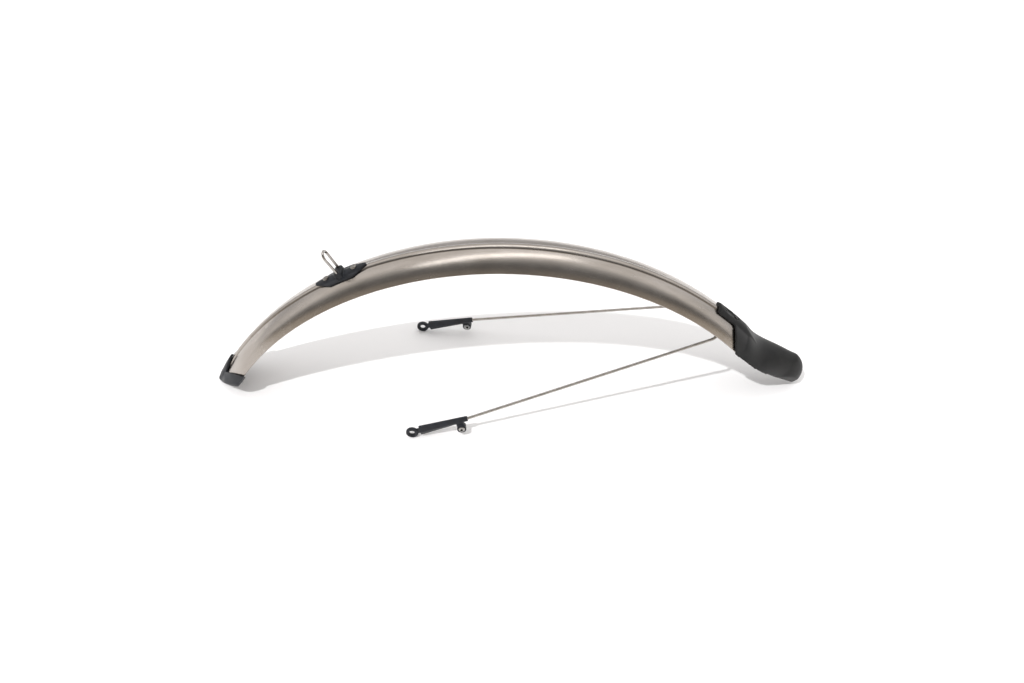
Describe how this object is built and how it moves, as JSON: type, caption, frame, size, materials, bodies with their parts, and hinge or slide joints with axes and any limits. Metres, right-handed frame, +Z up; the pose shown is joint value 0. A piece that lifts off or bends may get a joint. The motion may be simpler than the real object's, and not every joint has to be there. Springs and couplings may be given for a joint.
{
  "type": "bicycle mudguard",
  "caption": "Front bicycle mudguard: arched ridged blade with a front cap, a rubber mudflap, a wire fork loop and a folding U stay with release eyelets.",
  "frame": {"origin": "centre of the bounding box on the floor that the guard lies on, with its stay folded up", "axes": "+X from the front tip to the mudflap, along the bicycle to the rear; +Y to the bicycle's right; +Z up"},
  "size_m": [0.6658, 0.172, 0.2014],
  "materials": {
    "blade_finish": "satin champagne metallic film",
    "black_plastic": "moulded black",
    "rubber": "soft matt",
    "stainless": "bright drawn wire",
    "dark_steel": "blackened",
    "bright_steel": "zinc plated"
  },
  "bodies": {
    "guard": {"blade": "blade_finish", "front_cap": "black_plastic", "mud_flap": "rubber", "flap_rivets": "dark_steel", "stay_bridge": "stainless", "bracket_base": "black_plastic", "bracket_loop": "stainless", "bracket_rivets": "stainless"},
    "stay": {"stay_wire": "stainless", "stay_clip_left": "black_plastic", "stay_clip_right": "black_plastic", "eyelet_left": "black_plastic", "eyelet_right": "black_plastic", "clamp_screw_left": "bright_steel", "clamp_screw_right": "bright_steel", "clamp_nut_left": "bright_steel", "clamp_nut_right": "bright_steel"}
  },
  "joints": [
    {"name": "stay_swing", "type": "hinge", "parent": "guard", "child": "stay", "pos_m": [0.23323, 0, 0.1001], "axis": [0, -1, 0], "range_deg": [-3, 66]}
  ]
}
